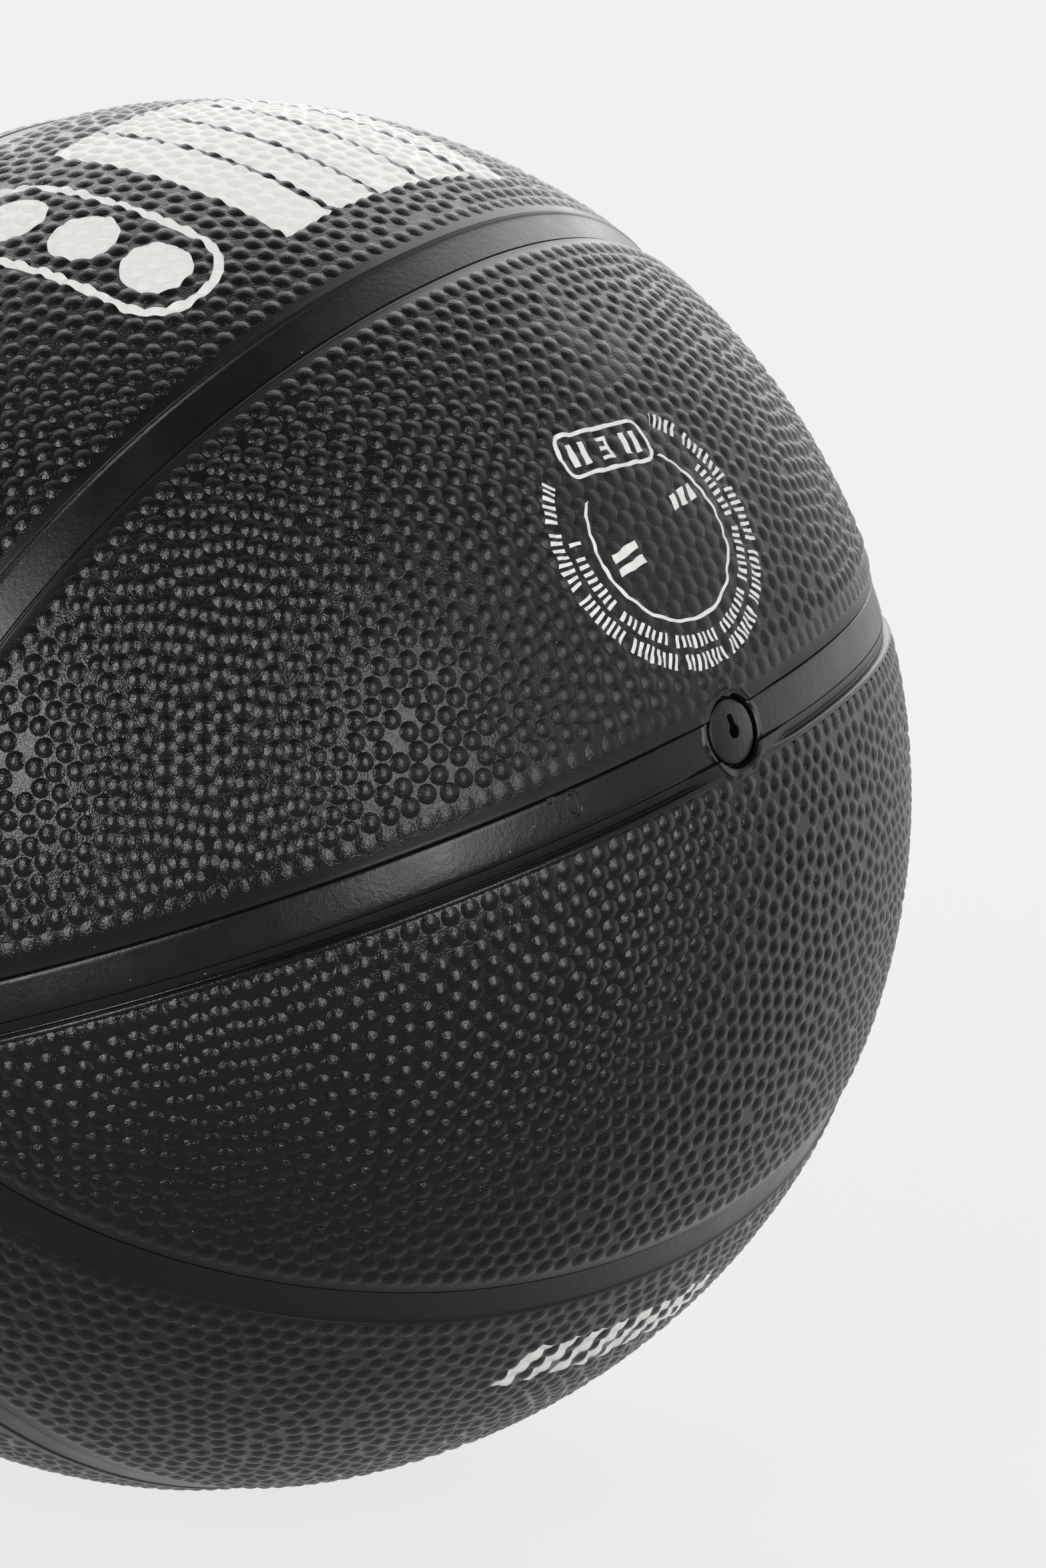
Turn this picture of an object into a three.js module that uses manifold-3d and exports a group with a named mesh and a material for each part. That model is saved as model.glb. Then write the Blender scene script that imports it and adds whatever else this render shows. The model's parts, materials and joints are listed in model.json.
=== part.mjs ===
// Mini basketball: a hollow moulded rubber ball, built up in layers round its bladder.
//
// From the inside out there are a bladder with its moulded valve seat, a winding of thread, a thin
// rubber carcass, and a cover. The cover is eight pebbled panels with rubber strips laid in the
// channels between them. A rubber plug, which takes the inflating needle, is pressed into the seat.
//
// The channels follow two great circles and two loops. The main seam runs through the valve, the
// cross seam stands square to the valve axis, and one loop lies round each end of that axis. So an
// oval panel pair fills each loop, and a crescent panel pair lies between each loop and the cross
// seam.
//
// The ball is built with its valve on +X and its main seam in the XY plane, then turned as a whole
// to the way it rests on the floor. Lengths are in millimetres, angles in degrees.

import * as THREE from 'three';
import { mergeVertices } from 'three/addons/utils/BufferGeometryUtils.js';
import Module from 'manifold-3d';

const wasm = await Module();
wasm.setup();

// Ball
const ballDiameter = 177.8; // over the pebble tops, a size 3 ball
const seamLean = 17.6; // the main seam plane leans this far from level
const valveTurn = -42.6; // the valve is turned this far round the leaning axis

// Cover
const coverThickness = 2.1; // a panel, pebbles included
const pebbleHeight = 0.5; // a panel's smooth border lies this far below its pebble tops
const borderWidth = 1.8; // from the channel to the first pebbles
const channelWidth = 5.3; // from panel to panel
const stripThickness = 1.15; // leaves the channel 0.45 mm deep

// Seam loops, seen along the valve axis
const loopReachAlong = 78.5; // an angle in degrees, from the valve axis to a loop, along the main seam
const loopReachAcross = 45.1; // the same angle, square to the main seam
const loopSquareness = 2.1; // 2 is an ellipse, and more is squarer

// Layers under the cover
const carcassThickness = 0.6;
const windingThickness = 0.4;
const bladderThickness = 0.8;
const bondGap = 0.3; // left between two pieces that are bonded
const coverGap = 0.45; // the same under the cover, whose flat facets cut inside their sphere

// Valve
const valveHoleDiameter = 9.2; // through the cover and every layer under it
const plugHeadDiameter = 8.0;
const plugHeadThickness = 1.5; // at the middle of the dome
const plugDome = 0.45; // the dome's own height
const plugRecess = 0.7; // from the pebble tops down to the top of the dome
const plugStemDiameter = 5.6;
const plugStemLength = 12.5;
const needleHoleDiameter = 1.8;
const slotLength = 2.2; // from the middle of the needle hole, makes it a keyhole
const slotWidth = 1.0;
const slotDepth = 3.0;
const seatWall = 2.8; // round the plug's stem, inside the bladder
const seatFloor = 2.0;
const flangeDiameter = 30; // the seat's root, bonded to the inside of the bladder
const flangeThickness = 1.2;

// Facets
const loopSteps = 34; // along one half of a loop, or of the cross seam
const ovalRows = 7; // from the main seam to the loop
const crescentRows = 5; // from the loop to the cross seam
const ringSteps = 60; // round the main seam
const turnedSides = 24; // round the valve axis
const shellSteps = 12; // from the valve to the far side
const domeRings = 4; // on the plug's head
const mergeDistance = 1e-4; // corners closer than this are one

// Radii that follow from the layers
const ballRadius = ballDiameter / 2;
const borderRadius = ballRadius - pebbleHeight;
const coverInside = ballRadius - coverThickness;
const carcassOutside = coverInside - coverGap;
const windingOutside = carcassOutside - carcassThickness - bondGap;
const bladderOutside = windingOutside - windingThickness - bondGap;
const bladderInside = bladderOutside - bladderThickness;
const flangeOutside = bladderInside - bondGap;
const stripOutside = coverInside + stripThickness;
const channelHalf = channelWidth / 2;
const stripHalf = channelHalf - bondGap;
const valveHoleRadius = valveHoleDiameter / 2;

const radians = THREE.MathUtils.degToRad;

const rubber = (color, roughness) => new THREE.MeshStandardMaterial({ color, roughness, metalness: 0 });
const coverRubber = () => rubber(0x1b1b1d, 0.55);
const stripRubber = () => rubber(0x202022, 0.45);
const carcassRubber = () => rubber(0x2b2926, 0.7);
const bladderRubber = () => rubber(0x121212, 0.6);
const valveRubber = () => rubber(0x191813, 0.3);
const nylonThread = () => new THREE.MeshStandardMaterial({ color: 0xd9d4c4, roughness: 0.85, metalness: 0 });

// Faces are gathered as loose triangles, and the corners that they share are merged at the end.
class Faces {
  constructor() {
    this.corners = [];
  }

  triangle(a, b, c) {
    for (const corner of [a, b, c]) this.corners.push(corner.x, corner.y, corner.z);
  }

  quad(a, b, c, d) {
    this.triangle(a, b, c);
    this.triangle(a, c, d);
  }

  // The rows run left to right and follow each other upwards, seen from outside.
  grid(rows) {
    for (let j = 1; j < rows.length; j += 1) {
      for (let i = 1; i < rows[j].length; i += 1) {
        this.quad(rows[j - 1][i - 1], rows[j - 1][i], rows[j][i], rows[j][i - 1]);
      }
    }
  }

  geometry() {
    const loose = new THREE.BufferGeometry();
    loose.setAttribute('position', new THREE.Float32BufferAttribute(this.corners, 3));
    const merged = mergeVertices(loose, mergeDistance);
    merged.computeVertexNormals();
    return merged;
  }
}

const atRadius = (directions, radius) => directions.map((direction) => direction.clone().multiplyScalar(radius));

// The same faces seen from behind, for the inside of a wall.
const seenFromInside = (rows) => rows.map((row) => [...row].reverse());

// Where a point lies that is a given angle from the valve axis, and a given angle round it from
// the main seam.
function fromValveAxis(reach, around) {
  return new THREE.Vector3(
    Math.cos(reach),
    Math.sin(reach) * Math.cos(around),
    Math.sin(reach) * Math.sin(around),
  );
}

// The angle from the valve axis to the loop. Seen along the axis, the loop is a squared ellipse.
function loopReach(around) {
  const along = Math.abs(Math.cos(around)) / Math.sin(radians(loopReachAlong));
  const across = Math.abs(Math.sin(around)) / Math.sin(radians(loopReachAcross));
  return Math.asin((along ** loopSquareness + across ** loopSquareness) ** (-1 / loopSquareness));
}

// The same angle for a line beside the loop, at a distance that is negative on the valve's side.
function besideLoop(around, distance) {
  const step = 1e-4;
  const reach = loopReach(around);
  const slope = (loopReach(around + step) - loopReach(around - step)) / (2 * step) / Math.sin(reach);
  return reach + (distance / ballRadius) * Math.hypot(1, slope);
}

// A line beside a loop, over the half of it that lies above the main seam. It starts and ends at
// the given height over the main seam's plane, at an angle that each pass brings nearer.
function loopLine(distance, height) {
  const passes = 8;
  let start = 0;
  for (let pass = 0; pass < passes; pass += 1) {
    start = Math.asin(height / ballRadius / Math.sin(besideLoop(start, distance)));
  }
  const line = [];
  for (let i = 0; i <= loopSteps; i += 1) {
    const around = THREE.MathUtils.lerp(Math.PI - start, start, i / loopSteps);
    line.push(fromValveAxis(besideLoop(around, distance), around));
  }
  return line;
}

// The line beside the cross seam, at a distance that is positive on the valve's side.
function crossSeamLine(distance, height) {
  const reach = Math.PI / 2 - Math.asin(distance / ballRadius);
  const start = Math.asin(height / ballRadius / Math.sin(reach));
  const line = [];
  for (let i = 0; i <= loopSteps; i += 1) {
    line.push(fromValveAxis(reach, THREE.MathUtils.lerp(Math.PI - start, start, i / loopSteps)));
  }
  return line;
}

// A line along the main seam, at the height where both of its end points lie.
function mainSeamLine(from, to, steps) {
  const height = from.z;
  const first = Math.atan2(from.y, from.x);
  const last = Math.atan2(to.y, to.x);
  const line = [];
  for (let i = 0; i <= steps; i += 1) {
    const turn = first + ((last - first) * i) / steps;
    const width = Math.sqrt(1 - height * height);
    line.push(new THREE.Vector3(width * Math.cos(turn), width * Math.sin(turn), height));
  }
  return line;
}

// The four sides of a panel's outline at a distance from the middle of its channels. The oval
// panel's two short sides are the ends of its loop line.
function ovalOutline(distance) {
  const loop = loopLine(-distance, distance);
  const top = loop.slice(ovalRows, loopSteps + 1 - ovalRows);
  return {
    bottom: mainSeamLine(loop[0], loop[loopSteps], top.length - 1),
    right: loop.slice(loopSteps - ovalRows).reverse(),
    top,
    left: loop.slice(0, ovalRows + 1),
  };
}

function crescentOutline(distance) {
  const bottom = loopLine(distance, distance);
  const top = crossSeamLine(distance, distance);
  return {
    bottom,
    right: mainSeamLine(bottom[loopSteps], top[loopSteps], crescentRows),
    top,
    left: mainSeamLine(bottom[0], top[0], crescentRows),
  };
}

// Fills an outline with rows of points that follow all four of its sides.
function fillOutline({ bottom, right, top, left }) {
  const columns = bottom.length - 1;
  const rows = left.length - 1;
  const filled = [];
  for (let j = 0; j <= rows; j += 1) {
    const up = j / rows;
    const row = [];
    for (let i = 0; i <= columns; i += 1) {
      const over = i / columns;
      const point = new THREE.Vector3()
        .addScaledVector(bottom[i], 1 - up)
        .addScaledVector(top[i], up)
        .addScaledVector(left[j], 1 - over)
        .addScaledVector(right[j], over)
        .addScaledVector(bottom[0], -(1 - over) * (1 - up))
        .addScaledVector(bottom[columns], -over * (1 - up))
        .addScaledVector(top[0], -(1 - over) * up)
        .addScaledVector(top[columns], -over * up);
      row.push(point.normalize());
    }
    filled.push(row);
  }
  return filled;
}

// An outline as one closed line, which starts along the bottom.
function goRound({ bottom, right, top, left }) {
  return [
    ...bottom,
    ...right.slice(1),
    ...[...top].reverse().slice(1),
    ...[...left].reverse().slice(1),
  ];
}

// A panel: its pebbled field, the lower smooth border round it, the walls and the inside.
function panelGeometry(outline) {
  const edge = outline(channelHalf);
  const field = outline(channelHalf + borderWidth);
  const faces = new Faces();
  faces.grid(fillOutline(field).map((row) => atRadius(row, ballRadius)));
  faces.grid([atRadius(goRound(edge), borderRadius), atRadius(goRound(field), ballRadius)]);
  faces.grid([atRadius(goRound(edge), coverInside), atRadius(goRound(edge), borderRadius)]);
  faces.grid(seenFromInside(fillOutline(edge).map((row) => atRadius(row, coverInside))));
  return faces.geometry();
}

// A strip in a channel, between two lines that run side by side. One that goes all the way round
// the ball needs no ends.
function stripGeometry(lower, upper, closed) {
  const section = [
    atRadius(lower, coverInside),
    atRadius(lower, stripOutside),
    atRadius(upper, stripOutside),
    atRadius(upper, coverInside),
  ];
  const faces = new Faces();
  faces.grid([...section, section[0]]);
  if (!closed) {
    const last = lower.length - 1;
    faces.quad(section[0][0], section[1][0], section[2][0], section[3][0]);
    faces.quad(section[3][last], section[2][last], section[1][last], section[0][last]);
  }
  return faces.geometry();
}

function mainSeamStrip() {
  const rise = stripHalf / ballRadius;
  const line = (height) => {
    const width = Math.sqrt(1 - height * height);
    const points = [];
    for (let i = 0; i <= ringSteps; i += 1) {
      const turn = (2 * Math.PI * i) / ringSteps;
      points.push(new THREE.Vector3(width * Math.cos(turn), width * Math.sin(turn), height));
    }
    return points;
  };
  return stripGeometry(line(-rise), line(rise), true);
}

// Solids for cutting, and back again.
function solid(geometry) {
  const bare = geometry.clone();
  bare.deleteAttribute('normal');
  bare.deleteAttribute('uv');
  const merged = mergeVertices(bare, mergeDistance);
  return new wasm.Manifold(new wasm.Mesh({
    numProp: 3,
    vertProperties: merged.attributes.position.array,
    triVerts: Uint32Array.from(merged.index.array),
  }));
}

function cutAway(geometry, ...cutters) {
  const left = cutters.reduce((piece, cutter) => piece.subtract(solid(cutter)), solid(geometry));
  const mesh = left.getMesh();
  const cut = new THREE.BufferGeometry();
  cut.setAttribute('position', new THREE.BufferAttribute(mesh.vertProperties, 3));
  cut.setIndex(new THREE.BufferAttribute(mesh.triVerts, 1));
  cut.computeVertexNormals();
  return cut;
}

// A round piece on the valve axis, from a profile of [radius, distance from the ball's centre].
function turned(profile) {
  const points = profile.map(([radius, out]) => new THREE.Vector2(radius, out));
  return new THREE.LatheGeometry(points, turnedSides).rotateZ(-Math.PI / 2);
}

// A round rod on the valve axis, or beside it, between two distances from the ball's centre.
function rod(diameter, from, to) {
  const length = to - from;
  return new THREE.CylinderGeometry(diameter / 2, diameter / 2, length, turnedSides)
    .rotateZ(-Math.PI / 2)
    .translate((from + to) / 2, 0, 0);
}

const valveHole = () => rod(valveHoleDiameter, coverInside - coverThickness, ballRadius + coverThickness);

// A hollow layer with a hole for the valve. Its rings are at the same angles on both faces: one at
// the hole, one over the edge of the seat's flange, and the rest evenly on to the far side.
function layerGeometry(outside, thickness) {
  const arc = (radius) => {
    const hole = Math.asin(valveHoleRadius / radius);
    const flange = Math.asin(flangeDiameter / 2 / flangeOutside) + bondGap / radius;
    const angles = [hole];
    for (let i = 0; i < shellSteps; i += 1) angles.push(flange + ((Math.PI - flange) * i) / shellSteps);
    const points = angles.map((angle) => [radius * Math.sin(angle), radius * Math.cos(angle)]);
    return [...points, [0, -radius]];
  };
  return turned([...arc(outside).reverse(), ...arc(outside - thickness)]);
}

// The seat: a flange inside the bladder, a neck that fills the hole, and a pocket for the plug.
const headUnderside = ballRadius - plugRecess - plugHeadThickness;
const neckTop = headUnderside - bondGap;
const pocketFloor = headUnderside - plugStemLength - bondGap;

function seatGeometry() {
  const neckRadius = valveHoleRadius - bondGap;
  const pocketRadius = plugStemDiameter / 2 + bondGap;
  const barrelRadius = pocketRadius + seatWall;
  const flangeRadius = flangeDiameter / 2;
  const needleRadius = needleHoleDiameter / 2;
  const onSphere = (radius, sphere) => [radius, Math.sqrt(sphere * sphere - radius * radius)];
  const flangeInside = flangeOutside - flangeThickness;
  return turned([
    [needleRadius, pocketFloor - seatFloor],
    [barrelRadius, pocketFloor - seatFloor],
    onSphere(barrelRadius, flangeInside),
    onSphere(flangeRadius, flangeInside),
    onSphere(flangeRadius, flangeOutside),
    onSphere(neckRadius, flangeOutside),
    [neckRadius, neckTop],
    [pocketRadius, neckTop],
    [pocketRadius, pocketFloor],
    [needleRadius, pocketFloor],
    [needleRadius, pocketFloor - seatFloor],
  ]);
}

// The plug: a domed head on a stem, with the needle's way right through it. Seen from outside, the
// hole and its slot make a keyhole.
function plugGeometry() {
  const headRadius = plugHeadDiameter / 2;
  const stemRadius = plugStemDiameter / 2;
  const domeTop = headUnderside + plugHeadThickness;
  const stemEnd = headUnderside - plugStemLength;
  const dome = [];
  for (let i = 0; i <= domeRings; i += 1) {
    const angle = (Math.PI / 2) * (i / domeRings);
    dome.push([headRadius * Math.cos(angle), domeTop - plugDome * (1 - Math.sin(angle))]);
  }
  dome[domeRings][0] = 0;
  const whole = turned([
    [0, stemEnd],
    [stemRadius, stemEnd],
    [stemRadius, headUnderside],
    [headRadius, headUnderside],
    ...dome,
  ]);
  const needleHole = rod(needleHoleDiameter, stemEnd - seatFloor, domeTop + plugHeadThickness);
  const slot = new THREE.BoxGeometry(2 * slotDepth, slotWidth, slotLength);
  slot.translate(domeTop, 0, slotLength / 2);
  return cutAway(whole, needleHole, slot);
}

const ball = new THREE.Group();
ball.rotation.set(0, radians(-seamLean), radians(valveTurn));

function addPiece(name, geometry, material, turn = [0, 0]) {
  const piece = new THREE.Mesh(geometry, material);
  piece.name = name;
  piece.rotation.set(turn[0], 0, turn[1]);
  ball.add(piece);
}

addPiece('bladder', layerGeometry(bladderOutside, bladderThickness), bladderRubber());
addPiece('valve_seat', seatGeometry(), valveRubber());
addPiece('valve_plug', plugGeometry(), valveRubber());
addPiece('thread_winding', layerGeometry(windingOutside, windingThickness), nylonThread());
addPiece('carcass', layerGeometry(carcassOutside, carcassThickness), carcassRubber());
addPiece('main_seam_strip', cutAway(mainSeamStrip(), valveHole()), stripRubber());

// A half turn round the valve axis takes an upper piece to its lower twin, and one round the main
// seam's axis takes a piece on the valve's side to the far side.
const halves = [['upper', 0], ['lower', Math.PI]];
const sides = [['valve', 0], ['far', Math.PI]];

for (const [half, roundValve] of halves) {
  const strip = stripGeometry(
    crossSeamLine(stripHalf, channelHalf),
    crossSeamLine(-stripHalf, channelHalf),
    false,
  );
  addPiece(`cross_seam_strip_${half}`, strip, stripRubber(), [roundValve, 0]);
  for (const [side, roundSeam] of sides) {
    const turn = [roundValve, roundSeam];
    const oval = panelGeometry(ovalOutline);
    const drilled = side === 'valve' ? cutAway(oval, valveHole()) : oval;
    const loop = stripGeometry(loopLine(-stripHalf, channelHalf), loopLine(stripHalf, channelHalf), false);
    addPiece(`oval_panel_${side}_${half}`, drilled, coverRubber(), turn);
    addPiece(`crescent_panel_${side}_${half}`, panelGeometry(crescentOutline), coverRubber(), turn);
    addPiece(`loop_strip_${side}_${half}`, loop, stripRubber(), turn);
  }
}

export default ball;
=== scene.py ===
# %% [markdown]
# # Mini basketball
#
# A moulded rubber ball is a stack of thin layers: bladder, thread, carcass and cover. Only the
# cover and the valve plug show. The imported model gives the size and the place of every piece, and
# this script gives each visible one its real surface: eight pebbled panels, seven smooth strips
# between them, the valve, the white prints, and the studio that they are seen in.

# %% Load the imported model
import json
from math import asin, atan2, cos, hypot, pi, radians, sin

import bmesh
import bpy
import numpy as np
from mathutils import Matrix, Vector

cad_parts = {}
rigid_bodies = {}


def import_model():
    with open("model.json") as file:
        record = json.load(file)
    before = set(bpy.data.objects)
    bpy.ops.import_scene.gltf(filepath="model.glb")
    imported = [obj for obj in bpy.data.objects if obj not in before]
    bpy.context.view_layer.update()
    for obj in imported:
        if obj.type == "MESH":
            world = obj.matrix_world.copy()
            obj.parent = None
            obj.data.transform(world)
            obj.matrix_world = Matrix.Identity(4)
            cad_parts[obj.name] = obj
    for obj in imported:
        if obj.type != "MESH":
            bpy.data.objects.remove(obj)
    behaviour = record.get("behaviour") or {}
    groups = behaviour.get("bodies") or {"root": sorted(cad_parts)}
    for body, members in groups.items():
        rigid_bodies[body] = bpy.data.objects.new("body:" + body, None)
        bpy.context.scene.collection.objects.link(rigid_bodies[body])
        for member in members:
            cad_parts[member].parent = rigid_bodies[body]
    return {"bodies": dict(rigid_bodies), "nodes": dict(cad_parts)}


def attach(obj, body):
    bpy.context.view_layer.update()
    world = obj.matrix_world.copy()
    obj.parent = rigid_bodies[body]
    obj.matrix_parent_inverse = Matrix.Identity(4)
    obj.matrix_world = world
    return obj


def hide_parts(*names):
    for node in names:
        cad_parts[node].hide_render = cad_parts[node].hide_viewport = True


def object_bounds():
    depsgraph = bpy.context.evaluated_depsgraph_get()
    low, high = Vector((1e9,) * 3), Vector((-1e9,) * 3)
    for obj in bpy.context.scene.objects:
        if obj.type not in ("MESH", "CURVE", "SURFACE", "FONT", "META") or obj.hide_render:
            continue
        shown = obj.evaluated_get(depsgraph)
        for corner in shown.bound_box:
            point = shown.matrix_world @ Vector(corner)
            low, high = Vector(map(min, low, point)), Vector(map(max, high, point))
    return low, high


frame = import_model()
cad_low, cad_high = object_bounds()
body = next(iter(frame["bodies"]))
print("body", body, "with", len(frame["nodes"]), "nodes")

# %% [markdown]
# ## Sizes
#
# Blender works in metres, and a ball is easier to think of in millimetres, so a length is a number
# of millimetres times MM, and a list of points is in plain millimetres. The ball could be drawn as it
# lies in the picture, but with its valve on the X axis and its main seam in the XY plane every seam
# has a simple formula. So it is drawn that way, and turned as a whole afterwards.

# %% Ball and cover sizes
MM = 0.001
ball_radius = 88.9 * MM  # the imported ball, which the tops of the pebbles nearly reach
ground_radius = ball_radius - 0.5 * MM  # the rubber between the pebbles
cover_inside = ball_radius - 2.1 * MM
channel_half = 2.65 * MM  # from the middle of a channel to the panel beside it
loop_along = radians(78.5)  # from the valve axis to a loop, along the main seam
loop_across = radians(45.1)  # the same, square to the main seam
loop_squareness = 2.1  # 2 would be a plain ellipse

seam_lean = radians(17.6)  # the main seam rises to the right
valve_turn = radians(-42.6)  # and the valve faces the camera's right
ball_turn = Matrix.Rotation(-seam_lean, 3, "Y") @ Matrix.Rotation(valve_turn, 3, "Z")
print("valve faces", tuple(round(x, 3) for x in ball_turn @ Vector((1, 0, 0))))

# %% [markdown]
# ## Seam lines
#
# Channels divide the cover: the main seam runs through the valve, the cross seam is square to it, and
# a loop lies round the valve and another one opposite. They could be drawn by hand as curves, but a
# formula keeps every line in step when a size changes. A seam is a line of directions from the ball's
# middle. A loop is a slightly squared ellipse, seen along the valve axis, and a line beside it follows
# from the slope of that ellipse. numpy works on a whole line at once.

# %% Lines on the ball
def from_valve_axis(reach, around):
    """Directions at an angle from the valve axis, and at an angle round it from the main seam."""
    flat = np.sin(reach)
    return np.stack([np.cos(reach), flat * np.cos(around), flat * np.sin(around)], axis=-1)


def loop_reach(around):
    along = np.abs(np.cos(around)) / sin(loop_along)
    across = np.abs(np.sin(around)) / sin(loop_across)
    squared = along**loop_squareness + across**loop_squareness
    return np.arcsin(squared ** (-1 / loop_squareness))


def beside_loop(around, distance):
    """The reach of a line beside the loop. The distance is negative on the valve's side."""
    step = 1e-4
    reach = loop_reach(around)
    slope = (loop_reach(around + step) - loop_reach(around - step)) / (2 * step) / np.sin(reach)
    return reach + distance / ball_radius * np.hypot(1, slope)


closing_steps = 8  # each one brings the end point closer to its height


def loop_line(distance, height, steps):
    """The upper half of a line beside the loop, between two points at a height over the main seam."""
    start = 0.0
    for _ in range(closing_steps):
        start = asin(height / ball_radius / sin(beside_loop(start, distance)))
    around = np.linspace(pi - start, start, steps + 1)
    return from_valve_axis(beside_loop(around, distance), around)


def cross_seam_line(distance, height, steps):
    """The upper half of a line beside the cross seam, at a distance towards the valve."""
    reach = pi / 2 - asin(distance / ball_radius)
    start = asin(height / ball_radius / sin(reach))
    return from_valve_axis(np.full(steps + 1, reach), np.linspace(pi - start, start, steps + 1))


def main_seam_line(first, last, steps):
    """A line along the main seam, at the height where both of its end points lie."""
    turn = np.linspace(atan2(first[1], first[0]), atan2(last[1], last[0]), steps + 1)
    width = np.sqrt(1 - first[2] ** 2)
    return np.stack([width * np.cos(turn), width * np.sin(turn), np.full(steps + 1, first[2])], axis=-1)


middle_loop = loop_line(0, 0, 60)
loop_length = np.linalg.norm(np.diff(middle_loop, axis=0), axis=1).sum() * ball_radius
print("half a loop is", round(float(loop_length / MM)), "mm")

# %% [markdown]
# ## Panel outlines
#
# Each panel is a patch of rubber with four sides, which are seam lines. A sphere could be cut along
# them, but a grid that follows all four sides has no thin faces at its edge. The same function gives
# the panel's own edge, the edge of its pebbled field and the line of its first row of pebbles, because
# only the distances to the seams change.

# %% Outlines and the grids that fill them
loop_steps = 160
oval_rows = 34
crescent_rows = 20


def oval_outline(main_distance, loop_distance, cross_distance=0):
    """Between the main seam and the loop. An oval panel doesn't reach the cross seam."""
    loop = loop_line(-loop_distance, main_distance, loop_steps)
    top = loop[oval_rows : loop_steps + 1 - oval_rows]
    return {
        "bottom": main_seam_line(loop[0], loop[-1], len(top) - 1),
        "right": loop[loop_steps - oval_rows :][::-1],
        "top": top,
        "left": loop[: oval_rows + 1],
    }


def crescent_outline(main_distance, loop_distance, cross_distance):
    """Between the loop and the cross seam, with an end on the main seam on each side."""
    bottom = loop_line(loop_distance, main_distance, loop_steps)
    top = cross_seam_line(cross_distance, main_distance, loop_steps)
    return {
        "bottom": bottom,
        "right": main_seam_line(bottom[-1], top[-1], crescent_rows),
        "top": top,
        "left": main_seam_line(bottom[0], top[0], crescent_rows),
    }


def fill_outline(outline):
    """Rows of points that follow all four sides of an outline."""
    bottom, right, top, left = (outline[side] for side in ("bottom", "right", "top", "left"))
    over = np.linspace(0, 1, len(bottom))[None, :, None]
    up = np.linspace(0, 1, len(left))[:, None, None]
    filled = bottom[None] * (1 - up) + top[None] * up + left[:, None] * (1 - over) + right[:, None] * over
    filled -= (bottom[0] * (1 - over) + bottom[-1] * over) * (1 - up)
    filled -= (top[0] * (1 - over) + top[-1] * over) * up
    return filled / np.linalg.norm(filled, axis=-1, keepdims=True)


def go_round(outline):
    """An outline as one closed line that starts along the bottom, and the side of each point."""
    sides = [outline["bottom"], outline["right"][1:], outline["top"][::-1][1:], outline["left"][::-1][1:]]
    names = ("bottom", "right", "top", "left")
    labels = [name for name, side in zip(names, sides) for _ in side]
    return np.concatenate(sides), labels


print("oval grid", fill_outline(oval_outline(channel_half, channel_half)).shape)

# %% [markdown]
# ## Border shapes
#
# The mould leaves a different border on each side of a panel: above the main seam a thin lip, below
# it a chamfer, a groove and a round ridge. Such an edge could be bevelled or cut with a tool, but a
# list of points says it more simply: how far from the middle of the channel, and how high over the
# ground between the pebbles.

# %% Borders, from the channel inwards
lip = [(2.65, -0.7), (2.72, -0.36), (2.85, -0.27), (3.1, -0.26), (4.3, -0.09), (5.1, -0.01), (5.6, 0.0)]
flush = [(2.65, -0.12), (2.75, -0.03), (2.95, 0.0), (5.6, 0.0)]
chamfer_and_ridge = [
    (2.65, -0.44), (3.1, -0.52), (3.9, -0.72), (4.02, -0.85), (4.12, -0.8), (4.2, -0.3), (4.3, 0.0),
    (4.45, 0.12), (4.65, 0.16), (4.85, 0.1), (5.0, -0.03), (5.1, -0.12), (5.3, -0.07), (5.6, 0.0),
]
ring_distances = [
    2.65, 2.72, 2.78, 2.85, 2.95, 3.1, 3.3, 3.6, 3.9, 4.02,
    4.12, 4.2, 4.3, 4.45, 4.65, 4.85, 5.0, 5.1, 5.3, 5.6,
]
waver = 0.045 * MM  # how far the mould's hand-cut edges stray up and down
waver_reach = ((2.8, 4.6, 5.3), (0, 1, 0))  # by these shares, at these distances
grain_reach = ((3.4, 4.9), (0, 1))  # a border is smooth before the first distance, and then grainy
valve_smoothing = (6.5 * MM, 11 * MM)  # the borders flatten between these distances from the valve


def border_heights(border):
    distances, heights = zip(*border)
    return np.interp(ring_distances, distances, heights) * MM


def softened(values, middle_share):
    """A closed line of values, each mixed twice with its two neighbours."""
    for _ in range(2):
        values = (np.roll(values, 1) + middle_share * values + np.roll(values, -1)) / (2 + middle_share)
    return values


def wavering(count):
    """A smooth line of small random heights, the same each time."""
    return softened(np.random.default_rng(count).normal(size=count), 1) * waver


def fade_at_valve(directions):
    """0 at the valve, where the mould is smooth, and 1 away from it."""
    away = np.hypot(directions[..., 1], directions[..., 2]) * ball_radius
    near, far = valve_smoothing
    share = np.clip((away - near) / (far - near), 0, 1)
    share = np.where(directions[..., 0] > 0, share, 1)
    return share * share * (3 - 2 * share)


print(len(ring_distances), "rings make a border")

# %% [markdown]
# ## Panel shells
#
# A panel is a curved slab of rubber. A flat sheet with Solidify would give it the same edge all round,
# so the shell is gathered from grids of points instead: the ground, the rings of the border, the wall
# down to the carcass and the inside. Grids that meet share the same points, so merging by distance
# closes the shell. The two shells beside the valve are then drilled with a Boolean modifier.

# %% Meshes from grids
merge_distance = 1e-7


def grid_faces(rows, columns, start):
    """The four corners of each face of a grid whose first point has the number start."""
    index = np.arange(rows * columns).reshape(rows, columns) + start
    corners = (index[:-1, :-1], index[:-1, 1:], index[1:, 1:], index[1:, :-1])
    return np.stack([corner.ravel() for corner in corners], axis=-1)


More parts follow.
